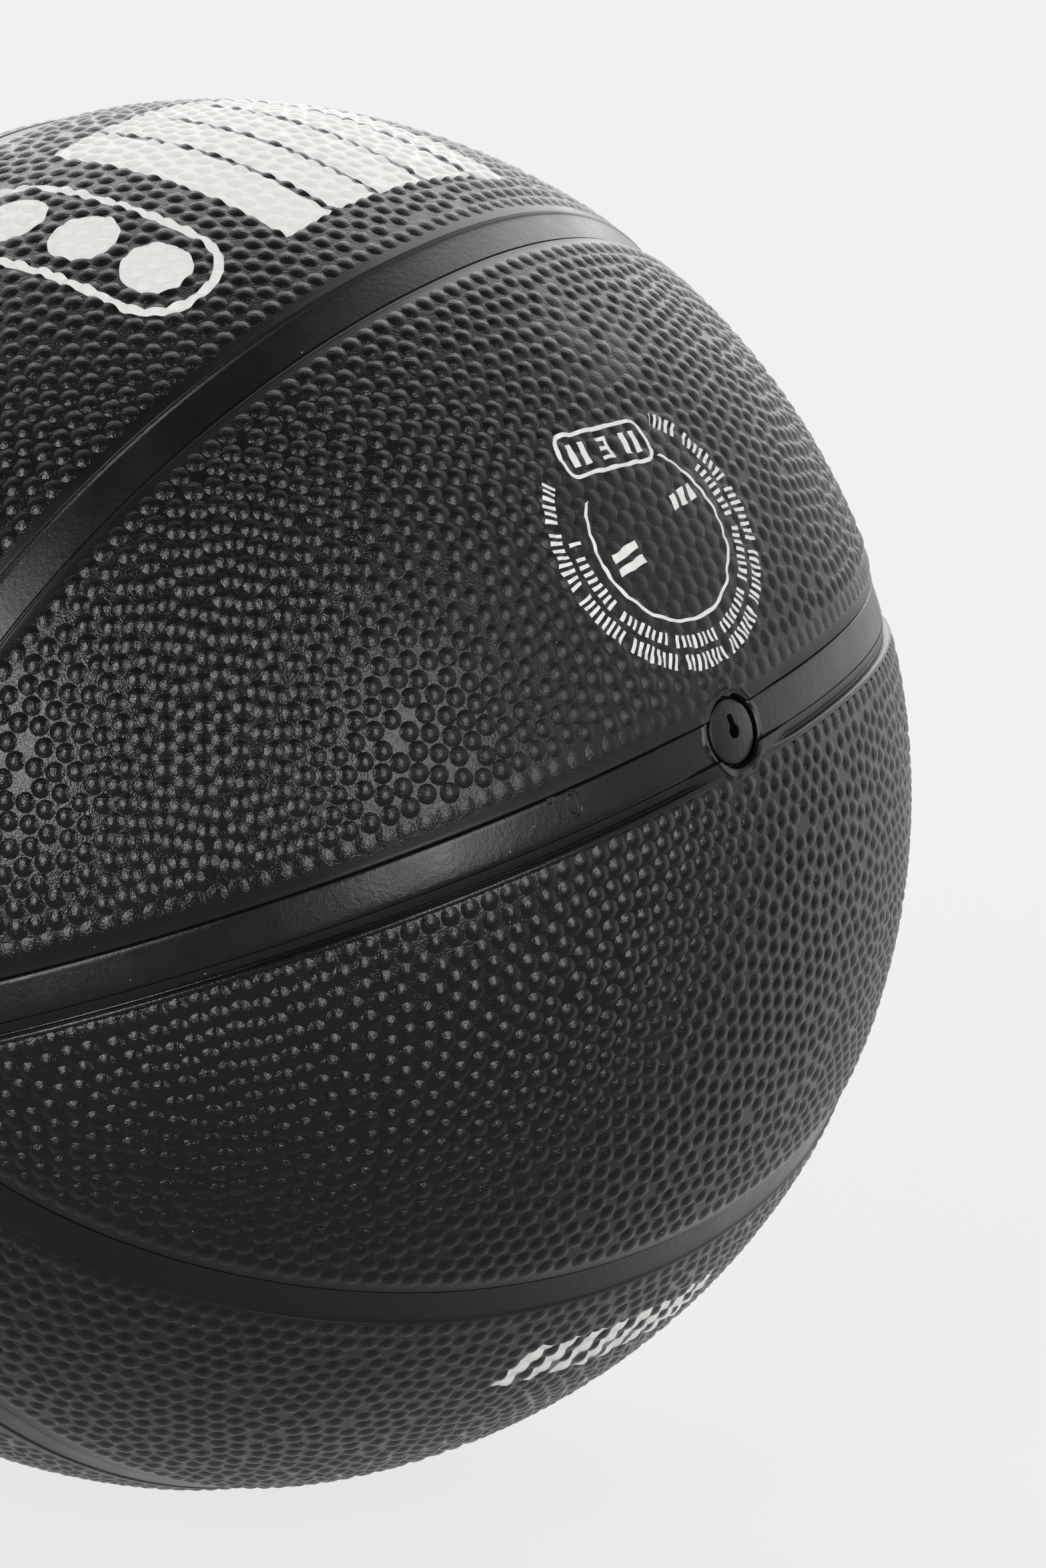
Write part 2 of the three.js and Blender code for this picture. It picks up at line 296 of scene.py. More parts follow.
def mesh_from_grids(name, grids, grains=None):
    """A closed mesh from grids whose rows run left to right and follow each other upwards.

    grains says how grainy the rubber is on each row of each grid, from 0 to 1.
    """
    points, faces, grain = [], [], []
    start = 0
    for grid, row_grain in zip(grids, grains or [1.0] * len(grids)):
        rows, columns = grid.shape[:2]
        points.append(grid.reshape(-1, 3))
        grain.append(np.repeat(np.broadcast_to(row_grain, rows), columns))
        faces.append(grid_faces(rows, columns, start))
        start += rows * columns
    mesh = bpy.data.meshes.new(name)
    mesh.from_pydata(np.concatenate(points).tolist(), [], np.concatenate(faces).tolist())
    mesh.attributes.new("grain", "FLOAT", "POINT").data.foreach_set("value", np.concatenate(grain))
    work = bmesh.new()
    work.from_mesh(mesh)
    bmesh.ops.remove_doubles(work, verts=work.verts, dist=merge_distance)
    bmesh.ops.dissolve_degenerate(work, edges=work.edges, dist=merge_distance)
    work.to_mesh(mesh)
    work.free()
    return mesh


def put_in_scene(name, mesh):
    piece = bpy.data.objects.new(name, mesh)
    bpy.context.scene.collection.objects.link(piece)
    return piece


def applied(piece):
    """The piece's mesh with its modifiers worked out, as a plain mesh."""
    bpy.context.view_layer.update()
    settled = piece.evaluated_get(bpy.context.evaluated_depsgraph_get())
    return bpy.data.meshes.new_from_object(settled)


def drilled(mesh, cutters):
    """The mesh with other solids cut away from it."""
    piece = put_in_scene("drilled", mesh)
    tools = [put_in_scene("cutter", cutter) for cutter in cutters]
    for tool in tools:
        cut = piece.modifiers.new("Cut", "BOOLEAN")
        cut.operation = "DIFFERENCE"
        cut.solver = "EXACT"
        cut.object = tool
    result = applied(piece)
    for thing in [piece, *tools]:
        bpy.data.objects.remove(thing)
    return result


def turned_mesh(name, profile, sides):
    """A closed round solid on the valve axis, from points of (radius, distance from the middle)."""
    angles = np.linspace(0, 2 * pi, sides + 1)
    rows = [
        np.stack([np.full(sides + 1, out), radius * np.cos(angles), radius * np.sin(angles)], axis=-1)
        for radius, out in profile
    ]
    return mesh_from_grids(name, [np.stack(rows)])


def round_bar(name, radius, low, high, sides):
    """A bar on the valve axis between two distances from the ball's middle."""
    return turned_mesh(name, [(0, low), (radius, low), (radius, high), (0, high)], sides)


valve_hole_radius = 4.6 * MM
hole_depth = 5 * MM
hole_sides = 64


def valve_cutter():
    low, high = ball_radius - hole_depth, ball_radius + hole_depth
    return round_bar("valve_cutter", valve_hole_radius, low, high, hole_sides)


print("cutter faces", len(valve_cutter().polygons))

# %% One shell for each kind of panel
def shell_mesh(name, outline, borders):
    """A panel without its pebbles. borders gives the border of each side of the outline."""
    rings = []
    for ring, distance in enumerate(np.array(ring_distances) * MM):
        line, labels = go_round(outline(distance, distance, distance))
        heights = softened(np.array([border_heights(borders[label])[ring] for label in labels]), 2)
        heights = heights + wavering(len(heights)) * np.interp(distance / MM, *waver_reach)
        heights[-1] = heights[0] = (heights[-1] + heights[0]) / 2
        heights = heights * fade_at_valve(line)
        rings.append(line * (ground_radius + heights)[:, None])
    edge = outline(channel_half, channel_half, channel_half)
    inner_line, _ = go_round(edge)
    field_distance = ring_distances[-1] * MM
    field = fill_outline(outline(field_distance, field_distance, field_distance)) * ground_radius
    inside = fill_outline(edge)[:, ::-1] * cover_inside
    rings = [inner_line * cover_inside] + rings
    ring_grain = np.interp(ring_distances, *grain_reach)
    return mesh_from_grids(name, [field, np.stack(rings), inside], [1.0, [0.0, *ring_grain], 0.0])


print("a shell ends its border", ring_distances[-1], "mm from the middle of a channel")

# %% [markdown]
# ## Writing nodes as sums
#
# A node tree is easier to read as formulas. Value wraps one output socket, so that `1 - mask` or
# `height * 0.5` adds the Math nodes by itself, and Graph.add makes any other node from its type,
# its settings and its inputs. The same two classes serve Geometry Nodes and shaders.

# %% Value and Graph
class Value:
    """An output socket that can be used in formulas."""

    def __init__(self, graph, socket):
        self.graph = graph
        self.socket = socket

    def math(self, operation, *others):
        return self.graph.add("ShaderNodeMath", {"operation": operation}, dict(enumerate((self, *others))))

    def vector(self, operation, *others):
        is_number = operation in ("DOT_PRODUCT", "LENGTH", "DISTANCE")
        inputs = dict(enumerate((self, *others)))
        if operation == "SCALE":
            inputs = {0: self, "Scale": others[0]}
        output = "Value" if is_number else 0
        return self.graph.add("ShaderNodeVectorMath", {"operation": operation}, inputs, output)

    def between(self, first, second):
        """The first where this value is 0 and the second where it is 1."""
        return first + self * (second - first)

    def __add__(self, other):
        return self.math("ADD", other)

    def __sub__(self, other):
        return self.math("SUBTRACT", other)

    def __rsub__(self, other):
        return self.graph.add("ShaderNodeMath", {"operation": "SUBTRACT"}, {0: other, 1: self})

    def __mul__(self, other):
        return self.math("MULTIPLY", other)

    def __truediv__(self, other):
        return self.math("DIVIDE", other)

    def __lt__(self, other):
        return self.math("LESS_THAN", other)

    def __gt__(self, other):
        return self.math("GREATER_THAN", other)

    def __abs__(self):
        return self.math("ABSOLUTE")

    __radd__ = __add__
    __rmul__ = __mul__


class Graph:
    """A node tree that is being built."""

    def __init__(self, tree):
        self.tree = tree
        tree.nodes.clear()

    def add(self, kind, settings=None, inputs=None, output=0):
        """Makes a node and returns one of its outputs. An input is found by its name or its number."""
        node = self.tree.nodes.new(kind)
        for name, value in (settings or {}).items():
            setattr(node, name, value)
        for key, value in (inputs or {}).items():
            socket = self.find(node.inputs, key)
            for one in value if isinstance(value, list) else [value]:
                if isinstance(one, Value):
                    self.tree.links.new(one.socket, socket)
                else:
                    socket.default_value = one
        return Value(self, self.find(node.outputs, output)) if len(node.outputs) else None

    def find(self, sockets, key):
        """A node hides the sockets that its settings leave unused, and those don't count here."""
        shown = [socket for socket in sockets if socket.enabled]
        if isinstance(key, int):
            return shown[key]
        return next(socket for socket in shown if socket.name == key)

    def combine(self, x, y, z):
        return self.add("ShaderNodeCombineXYZ", None, {"X": x, "Y": y, "Z": z})

    def grey(self, level):
        return self.combine(level, level, level)

    def part(self, vector, axis):
        return self.add("ShaderNodeSeparateXYZ", None, {"Vector": vector}, axis)

    def step(self, value, low, high):
        """0 below low, 1 above high and smooth between them."""
        inputs = {"Value": value, "From Min": low, "From Max": high}
        return self.add("ShaderNodeMapRange", {"interpolation_type": "SMOOTHSTEP"}, inputs)

    def noise(self, place, scale, detail=2.0, output="Fac"):
        inputs = {"Vector": place, "Scale": scale, "Detail": detail}
        return self.add("ShaderNodeTexNoise", None, inputs, output)

    def strayed(self, place, scale, reach, detail=0.0):
        """A place moved by smooth noise, by half of the reach at most."""
        stray = self.noise(place, scale, detail, "Color").vector("SUBTRACT", (0.5, 0.5, 0.5))
        return place.vector("ADD", stray.vector("SCALE", reach))


print("Value and Graph are ready")

# %% [markdown]
# ## Pebbles
#
# The pebbles are round domes, cut by hand in the mould: a row along every border, and the rest as
# close as they fit, with no grid. They could be scattered on the panel and left there, but then some
# overlap and others leave holes. So a Repeat zone pushes each one away from its nearest neighbour,
# a little at a time, while the border row holds still. Each dome is an instance of one small cone,
# bent into a cap.

# %% Sizes of the pebbles, and their node group
pebble_sizes = {
    "Diameter": 2.6 * MM,
    "Height": 0.38 * MM,
    "Foot": 0.03 * MM,  # sunk in the ground, so that no gap shows
    "Steepness": 1.15,  # a higher power gives a narrower top and a wider foot
    "Row Pitch": 2.6 * MM,
    "Scatter Distance": 1.95 * MM,
    "Least Distance": 2.6 * MM,
    "Row Height": 0.8,  # the border row is lower, as a share of the height
    "Seam Row Height": 0.45,  # and lower still above the main seam
    "Worn Radius": 13 * MM,  # a patch near the round print, where the mould has worn
    "Worn Height": 0.3,
    "Label Radius": 17 * MM,  # the pebbles under the round print are low, so that it prints clean
    "Label Height": 0.55,
    "Ground Radius": ground_radius,
    "Valve Clearance": 6.7 * MM,
}
worn_middle = tuple(from_valve_axis(radians(32.7), radians(75)) * ball_radius)
label_middle = tuple(from_valve_axis(radians(16.5), radians(86)) * ball_radius)
pebble_sides = 12
pebble_rings = 4
scatter_density = 1.2e6  # tries for each square metre, before the least distance thins them
relaxing_steps = 150
relaxing_share = 0.5  # of the missing distance, in each step
ring_spread = 0.85  # under 1 the rings of the dome lie closer together near its foot
worn_noise = 260.0  # the worn patch is not worn evenly
width_range = (0.95, 1.04)
height_range = (0.93, 1.0)
worn_edge = (0.35, 1.0)  # the wear fades between these shares of its radius
worn_patches = (0.38, 0.6)  # and between these levels of its noise
label_edge = (0.85, 1.1)  # the height changes between these shares of the label's radius
seam_row_reach = 6.5 * MM  # the row above the main seam lies within this height


def pebble_tree():
    """The node group that turns a carrier mesh into pebbles. Wire edges carry the border row."""
    tree = bpy.data.node_groups.new("pebbled_field", "GeometryNodeTree")
    tree.interface.new_socket("Geometry", in_out="OUTPUT", socket_type="NodeSocketGeometry")
    tree.interface.new_socket("Geometry", in_out="INPUT", socket_type="NodeSocketGeometry")
    for name in pebble_sizes:
        tree.interface.new_socket(name, in_out="INPUT", socket_type="NodeSocketFloat")
    tree.interface.new_socket("Seed", in_out="INPUT", socket_type="NodeSocketInt")
    tree.interface.new_socket("Rubber", in_out="INPUT", socket_type="NodeSocketMaterial")
    graph = Graph(tree)
    given = tree.nodes.new("NodeGroupInput")
    size = {socket.name: Value(graph, socket) for socket in given.outputs if socket.name}
    dome = pebble_dome(graph, size)
    points = pebble_points(graph, size)
    graph.add("NodeGroupOutput", None, {"Geometry": pebble_instances(graph, size, points, dome)})
    return tree


pebble_width, pebble_height = (pebble_sizes[name] / MM for name in ("Diameter", "Height"))
print(f"a pebble is {pebble_width:.2f} mm wide and {pebble_height:.2f} mm high")

# %% The dome
def pebble_dome(graph, size):
    """A unit cone whose rings are moved on to a low dome that flows into the ground."""
    cone = graph.add(
        "GeometryNodeMeshCone",
        {"fill_type": "NGON"},
        {
            "Vertices": pebble_sides,
            "Side Segments": pebble_rings,
            "Fill Segments": 1,
            "Radius Top": 0.0,
            "Radius Bottom": 1.0,
            "Depth": 1.0,
        },
    )
    place = graph.add("GeometryNodeInputPosition")
    down = (1 - graph.part(place, "Z")).math("MAXIMUM", 1e-4)
    out = down.math("POWER", ring_spread)
    spread = out * size["Diameter"] * 0.5 / down
    rise = (1 - out * out).math("MAXIMUM", 0.0).math("POWER", size["Steepness"])
    bent = graph.combine(
        graph.part(place, "X") * spread,
        graph.part(place, "Y") * spread,
        rise * (size["Height"] + size["Foot"]) - size["Foot"],
    )
    return graph.add("GeometryNodeSetPosition", None, {"Geometry": cone, "Position": bent})


faces_of_a_dome = pebble_sides * pebble_rings + 1
print("a dome has", faces_of_a_dome, "faces")

# %% Where the pebbles stand
def marked_with(graph, geometry, name, value):
    inputs = {"Geometry": geometry, "Name": name, "Value": value}
    return graph.add("GeometryNodeStoreNamedAttribute", None, inputs)


def pebble_points(graph, size):
    """The border row and the scattered points, which are then pushed apart on the sphere."""
    carrier = size["Geometry"]
    lonely = graph.add("GeometryNodeInputMeshEdgeNeighbors") < 0.5
    row = graph.add("GeometryNodeMeshToCurve", None, {"Mesh": carrier, "Selection": lonely})
    spacing = {"Curve": row, "Length": size["Row Pitch"]}
    row = graph.add("GeometryNodeCurveToPoints", {"mode": "LENGTH"}, spacing)
    scattered = graph.add(
        "GeometryNodeDistributePointsOnFaces",
        {"distribute_method": "POISSON"},
        {
            "Mesh": carrier,
            "Distance Min": size["Scatter Distance"],
            "Density Max": scatter_density,
            "Seed": size["Seed"],
        },
    )
    marked = [marked_with(graph, row, "loose", 0.0), marked_with(graph, scattered, "loose", 1.0)]
    points = graph.add("GeometryNodeJoinGeometry", None, {"Geometry": marked})
    place = graph.add("GeometryNodeInputPosition")
    from_valve = place.vector("DISTANCE", (ball_radius, 0.0, 0.0))
    near_valve = from_valve < size["Valve Clearance"]
    points = graph.add("GeometryNodeDeleteGeometry", None, {"Geometry": points, "Selection": near_valve})
    return pushed_apart(graph, size, points)


def pushed_apart(graph, size, points):
    """The points after many small steps away from whichever point is nearest."""
    start = graph.tree.nodes.new("GeometryNodeRepeatInput")
    end = graph.tree.nodes.new("GeometryNodeRepeatOutput")
    start.pair_with_output(end)
    start.inputs["Iterations"].default_value = relaxing_steps
    graph.tree.links.new(points.socket, start.inputs["Geometry"])
    place = graph.add("GeometryNodeInputPosition")
    nearest = graph.add("GeometryNodeIndexOfNearest")
    inputs = {"Value": place, "Index": nearest}
    other = graph.add("GeometryNodeFieldAtIndex", {"data_type": "FLOAT_VECTOR"}, inputs)
    away = place.vector("SUBTRACT", other)
    gap = away.vector("LENGTH")
    loose = graph.add("GeometryNodeInputNamedAttribute", None, {"Name": "loose"})
    push = (size["Least Distance"] - gap).math("MAXIMUM", 0.0) * relaxing_share * loose
    moved = place.vector("ADD", away.vector("NORMALIZE").vector("SCALE", push))
    on_ground = moved.vector("NORMALIZE").vector("SCALE", size["Ground Radius"])
    inner = Value(graph, start.outputs["Geometry"])
    moved = graph.add("GeometryNodeSetPosition", None, {"Geometry": inner, "Position": on_ground})
    graph.tree.links.new(moved.socket, end.inputs["Geometry"])
    return Value(graph, end.outputs["Geometry"])


print("each pebble is pushed up to", relaxing_steps, "times")

# %% Domes on their points
def random_value(graph, low, high, seed):
    return graph.add("FunctionNodeRandomValue", None, {"Min": low, "Max": high, "Seed": seed})


def pebble_share(graph, size, place):
    """How much of its full height each dome has, lower in the border row and where the ball is worn."""
    loose = graph.add("GeometryNodeInputNamedAttribute", None, {"Name": "loose"})
    above_seam = graph.part(place, "Z")
    seam_row = (above_seam > 0.0) * (above_seam < seam_row_reach)
    row_height = size["Row Height"] + (size["Seam Row Height"] - size["Row Height"]) * seam_row
    near_worn = 1 - graph.step(place.vector("DISTANCE", worn_middle) / size["Worn Radius"], *worn_edge)
    patches = graph.noise(place, worn_noise, 1.0)
    worn = 1 - near_worn * graph.step(patches, *worn_patches) * (1 - size["Worn Height"])
    from_label = place.vector("DISTANCE", label_middle) / size["Label Radius"]
    label = 1 - (1 - graph.step(from_label, *label_edge)) * (1 - size["Label Height"])
    return (loose + row_height * (1 - loose)) * worn * label


def pebble_instances(graph, size, points, dome):
    place = graph.add("GeometryNodeInputPosition")
    upright = graph.add("FunctionNodeAlignRotationToVector", {"axis": "Z"}, {"Vector": place})
    angle = random_value(graph, 0.0, 2 * pi, 1)
    spin = graph.add("FunctionNodeAxisAngleToRotation", None, {"Angle": angle})
    turns = {"Rotation": upright, "Rotate By": spin}
    spun = graph.add("FunctionNodeRotateRotation", {"rotation_space": "LOCAL"}, turns)
    width = random_value(graph, *width_range, 2)
    height = random_value(graph, *height_range, 3) * pebble_share(graph, size, place)
    scale = graph.combine(width, width, height)
    placing = {"Points": points, "Instance": dome, "Rotation": spun, "Scale": scale}
    domes = graph.add("GeometryNodeInstanceOnPoints", None, placing)
    domes = graph.add("GeometryNodeRealizeInstances", None, {"Geometry": domes})
    domes = marked_with(graph, domes, "grain", 1.0)
    domes = graph.add("GeometryNodeSetShadeSmooth", None, {"Geometry": domes})
    return graph.add("GeometryNodeSetMaterial", None, {"Geometry": domes, "Material": size["Rubber"]})


tree = pebble_tree()
print("pebbled_field has", len(tree.nodes), "nodes")

# %% [markdown]
# ## The eight panels
#
# A shell and its pebbles together are one moulded panel, so they become one mesh. The lower panels
# are half a turn of the upper ones about the valve axis, but they have borders of their own and
# their first row of pebbles stands elsewhere. Each panel has its own seed, so that no two show the
# same scatter.

# %% Borders and first rows of each panel
halves = {"upper": Matrix.Identity(4), "lower": Matrix.Rotation(pi, 4, "X")}
sides = {"valve": Matrix.Identity(4), "far": Matrix.Rotation(pi, 4, "Z")}
outlines = {"oval": oval_outline, "crescent": crescent_outline}
seam_border = {"upper": lip, "lower": chamfer_and_ridge}
border_sides = {
    "oval": {"bottom": "seam", "right": lip, "top": lip, "left": lip},
    "crescent": {"bottom": flush, "right": "seam", "top": flush, "left": "seam"},
}
# How far the first row of pebbles is from the middle of the main seam, the loop and the cross seam.
first_rows = {
    ("oval", "upper"): (5.5, 5.1, 5.3),
    ("oval", "lower"): (6.2, 5.1, 5.3),
    ("crescent", "upper"): (5.5, 5.3, 5.3),
    ("crescent", "lower"): (6.2, 4.2, 5.3),
}
field_margin = 2.2  # from the first row to the scattered pebbles

cover_rubber = bpy.data.materials.new("cover_rubber")


def carrier_mesh(outline, rows):
    """The faces that pebbles are scattered on, and a wire loop for the first row."""
    row_line, _ = go_round(outline(*(distance * MM for distance in rows)))
    field = fill_outline(outline(*((distance + field_margin) * MM for distance in rows)))
    count = len(row_line) - 1
    faces = grid_faces(*field.shape[:2], count).tolist()
    points = np.concatenate([row_line[:-1], field.reshape(-1, 3)]) * ground_radius
    mesh = bpy.data.meshes.new("carrier")
    mesh.from_pydata(points.tolist(), [(i, (i + 1) % count) for i in range(count)], faces)
    return mesh


def pebbles_on(carrier, seed):
    """The carrier's pebbles as a plain mesh."""
    piece = put_in_scene("carrier", carrier)
    grow = piece.modifiers.new("Pebbles", "NODES")
    grow.node_group = tree
    values = {**pebble_sizes, "Seed": seed, "Rubber": cover_rubber}
    for socket in tree.interface.items_tree:
        if socket.in_out == "INPUT" and socket.name in values:
            grow[socket.identifier] = values[socket.name]
    mesh = applied(piece)
    bpy.data.objects.remove(piece)
    return mesh


def joined(name, meshes, material, sharp_angle=50):
    """One mesh from several, with smooth shading between sharp edges."""
    work = bmesh.new()
    for mesh in meshes:
        work.from_mesh(mesh)
    result = bpy.data.meshes.new(name)
    work.to_mesh(result)
    work.free()
    result.materials.clear()
    result.materials.append(material)
    result.polygons.foreach_set("material_index", np.zeros(len(result.polygons), dtype=int))
    result.shade_smooth()
    result.set_sharp_from_angle(angle=radians(sharp_angle))
    return result


print("a panel ends in one of", len((lip, flush, chamfer_and_ridge)), "borders")

# %% Build the panels
def stand_in(name, mesh):
    """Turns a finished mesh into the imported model's frame and lets it stand in for its node."""
    mesh.transform(ball_turn.to_4x4())
    piece = put_in_scene(name, mesh)
    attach(piece, body)
    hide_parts(name)
    return piece


panels = []
for kind, outline in outlines.items():
    for side, side_turn in sides.items():
        for half, half_turn in halves.items():
            name = f"{kind}_panel_{side}_{half}"
            borders = {
                edge: seam_border[half] if border == "seam" else border
                for edge, border in border_sides[kind].items()
            }
            shell = shell_mesh("shell", outline, borders)
            carrier = carrier_mesh(outline, first_rows[kind, half])
            for mesh in (shell, carrier):
                mesh.transform(side_turn @ half_turn)
            if kind == "oval" and side == "valve":
                shell = drilled(shell, [valve_cutter()])
            pebbles = pebbles_on(carrier, len(panels) + 1)
            panels.append(stand_in(name, joined(name, [shell, pebbles], cover_rubber)))
            print(name, len(pebbles.polygons) // faces_of_a_dome, "pebbles")

# %% [markdown]
# ## The strips in the channels
#
# A smooth strip lies in every channel. Its top is not level: in a loop it rises from the oval panel
# to the crescent, where a hairline ridge marks the edge; along the main seam it falls into a narrow
# groove at its upper edge. A curve with a bevel profile could draw it, but would not follow the ball's
# roundness. So the strips are slabs on the seam lines, and their height follows a section.

# %% Strip sections, from one edge to the other
# How far from the middle of the channel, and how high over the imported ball, which is below 0 all
# along. A strip fills its channel, but for a hairline.
loop_section = [
    (-2.62, -1.3), (-2.35, -1.25), (-2.25, -1.06), (-1.6, -1.02), (0.0, -0.88), (1.3, -0.72),
    (1.95, -0.62), (2.2, -0.56), (2.36, -0.4), (2.48, -0.4), (2.56, -0.5), (2.62, -0.62),
]
cross_section = [
    (-2.62, -0.75), (-2.4, -0.68), (-1.2, -0.72), (0.0, -0.75), (1.2, -0.72), (2.4, -0.68), (2.62, -0.75),
]
main_section = [
    (-2.62, -1.08), (-2.5, -0.97), (-2.3, -0.9), (-1.9, -0.86), (-0.8, -0.86), (0.5, -0.9),
    (1.8, -0.93), (2.25, -0.94), (2.37, -1.02), (2.5, -1.3), (2.62, -1.55),
]
end_height = channel_half + 0.02 * MM  # the strips that meet the main seam stop here, beside it
strip_steps = 260
print("a strip is", 2 * loop_section[-1][0], "mm wide")


# %% Strips on their seams
def slab_mesh(name, directions, radii, inside):
    """A closed slab from a grid of directions and the distance of its top from the ball's middle."""
    tops = directions * radii[..., None]
    bottoms = directions * inside

    def rim(grid):
        return np.concatenate([grid[0], grid[1:, -1], grid[-1, ::-1][1:], grid[::-1, 0][1:]])

    return mesh_from_grids(name, [tops, np.stack([rim(bottoms), rim(tops)]), bottoms[:, ::-1]])


def strip_mesh(name, section, line):
    """A strip along a seam line. line gives the line beside the seam at a distance."""
    distances, heights = (np.array(values) * MM for values in zip(*section))
    directions = np.stack([line(distance) for distance in distances])
    radii = np.repeat((ball_radius + heights)[:, None], directions.shape[1], axis=1)
    return slab_mesh(name, directions, radii, cover_inside)


strip_rubber = bpy.data.materials.new("strip_rubber")
strips = []
for half, half_turn in halves.items():
    for side, side_turn in sides.items():
        name = f"loop_strip_{side}_{half}"
        mesh = strip_mesh(name, loop_section, lambda distance: loop_line(distance, end_height, strip_steps))
        mesh.transform(side_turn @ half_turn)
        strips.append(stand_in(name, joined(name, [mesh], strip_rubber)))
    name = f"cross_seam_strip_{half}"
    mesh = strip_mesh(
        name, cross_section, lambda distance: cross_seam_line(-distance, end_height, strip_steps)
    )
    mesh.transform(half_turn)
    strips.append(stand_in(name, joined(name, [mesh], strip_rubber)))
print(len(strips), "strips stop at the main seam")

# %% The main seam strip runs all the way round
main_steps = 520


def main_strip_mesh(name):
    out = [(height, ball_radius + level) for height, level in np.array(main_section) * MM]
    loop = [(out[0][0], cover_inside), *out, (out[-1][0], cover_inside), (out[0][0], cover_inside)]
    turn = np.linspace(-pi, pi, main_steps + 1)
    rows = []
    for height, radius in loop:
        flat = np.sqrt(radius**2 - height**2)
        level = np.full(main_steps + 1, height)
        rows.append(np.stack([flat * np.cos(turn), flat * np.sin(turn), level], axis=-1))
    return mesh_from_grids(name, [np.stack(rows)])


name = "main_seam_strip"
main_strip = drilled(main_strip_mesh(name), [valve_cutter()])
strips.append(stand_in(name, joined(name, [main_strip], strip_rubber)))
print(len(strips), "strips")

# %% [markdown]
# ## The valve plug
#
# The plug is a small domed rubber stopper. Its keyhole takes the inflating needle: a round hole for
# the needle and a slot above it, which lets the rubber give way. It is turned from a profile, as on a
# lathe, and two solids cut the keyhole, because a real hole stays dark from every side.

# %% Plug and keyhole
plug_radius = 4.0 * MM
plug_edge = ball_radius - 1.2 * MM  # the edge of the head lies below the pebbles
plug_dome = 0.45 * MM  # the rise of the head
dome_foot = 0.12 * MM  # the head starts this far above the plug's edge
head_share = 0.96  # of the plug's radius, where the dome ends and the edge begins
edge_points = [(0.985, 0.06 * MM), (1.0, -0.1 * MM)]  # share of the radius, height over the edge
plug_thickness = 1.4 * MM
plug_rings = 10
stem_radius = 2.8 * MM
stem_length = 12.5 * MM
needle_radius = 0.9 * MM
slot_width = 1.0 * MM
slot_height = 2.2 * MM
slot_depth = 3.0 * MM
slot_points = 13  # round the upper end of the slot
plug_sides = 72
needle_depth = 30 * MM
needle_sides = 32


def plug_mesh(name):
    """The head's domed top, its rounded edge and the stem."""
    underside = plug_edge - plug_thickness
    shares = np.linspace(0, 1, plug_rings + 1)
    foot = plug_edge + dome_foot
    dome = [(plug_radius * head_share * share, foot + plug_dome * (1 - share**2)) for share in shares]
    edge = [(plug_radius * share, plug_edge + height) for share, height in edge_points]
    below = [(plug_radius, underside), (stem_radius, underside)]
    stem = [(stem_radius, underside - stem_length), (0, underside - stem_length)]
    return turned_mesh(name, (dome + edge + below + stem)[::-1], plug_sides)


def slot_cutter():
    """A bar with a rounded upper end, from the needle hole upwards."""
    end = slot_height - slot_width / 2
    turn = np.linspace(0, pi, slot_points)
    line = [(slot_width / 2 * cos(t), end + slot_width / 2 * sin(t)) for t in turn]
    line = [*line, (-slot_width / 2, 0), (slot_width / 2, 0), line[0]]
    levels = (plug_edge - slot_depth, plug_edge + slot_depth)
    rows = np.array([[(level, y, z) for y, z in line] for level in levels])
    ends = [np.array([[(level, 0, end / 2)] * len(line), row]) for level, row in zip(levels, rows)]
    return mesh_from_grids("slot_cutter", [ends[0], rows, ends[1][::-1]])


low, high = plug_edge - needle_depth, plug_edge + hole_depth
needle_cutter = round_bar("needle_cutter", needle_radius, low, high, needle_sides)
valve_rubber = bpy.data.materials.new("valve_rubber")
plug = drilled(plug_mesh("valve_plug"), [needle_cutter, slot_cutter()])
plug = stand_in("valve_plug", joined("valve_plug", [plug], valve_rubber))
print("plug faces", len(plug.data.polygons))

# %% [markdown]
# ## White prints
#
# The prints are painted in the shader, so they follow every pebble without extra geometry. A picture
# could do the same, but formulas stay sharp at any size. A print has its own flat frame, laid against
# the ball: u runs to the right and v upwards, as seen from outside. Each shape is a formula of u and
# v that gives 1 inside it. The shapes are plain ones: bars, ticks, discs and a bare size number.

# %% Print frames and shapes
def print_axes(reach, around, spin=0.0):
    """The axes u, v and the outward normal of a print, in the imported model's frame.

    reach and around say where it lies, as in from_valve_axis, and spin turns it, all in degrees.
    """
    reach, around, spin = radians(reach), radians(around), radians(spin)
    normal = Vector((cos(reach), sin(reach) * cos(around), sin(reach) * sin(around)))
    outward = Vector((-sin(reach), cos(reach) * cos(around), cos(reach) * sin(around)))
    turn = Matrix.Rotation(spin, 3, normal)
    v_axis = turn @ outward
    u_axis = v_axis.cross(normal)
    return [ball_turn @ axis for axis in (u_axis, v_axis, normal)]


ticks_in_a_group = 9
group_share = 0.88  # the rest is the space after a group
whole_turns = 100  # added before the fraction is taken, so that angles below 0 work too
least_depth = 40  # millimetres from the ball's middle, so that no print shows on the other side


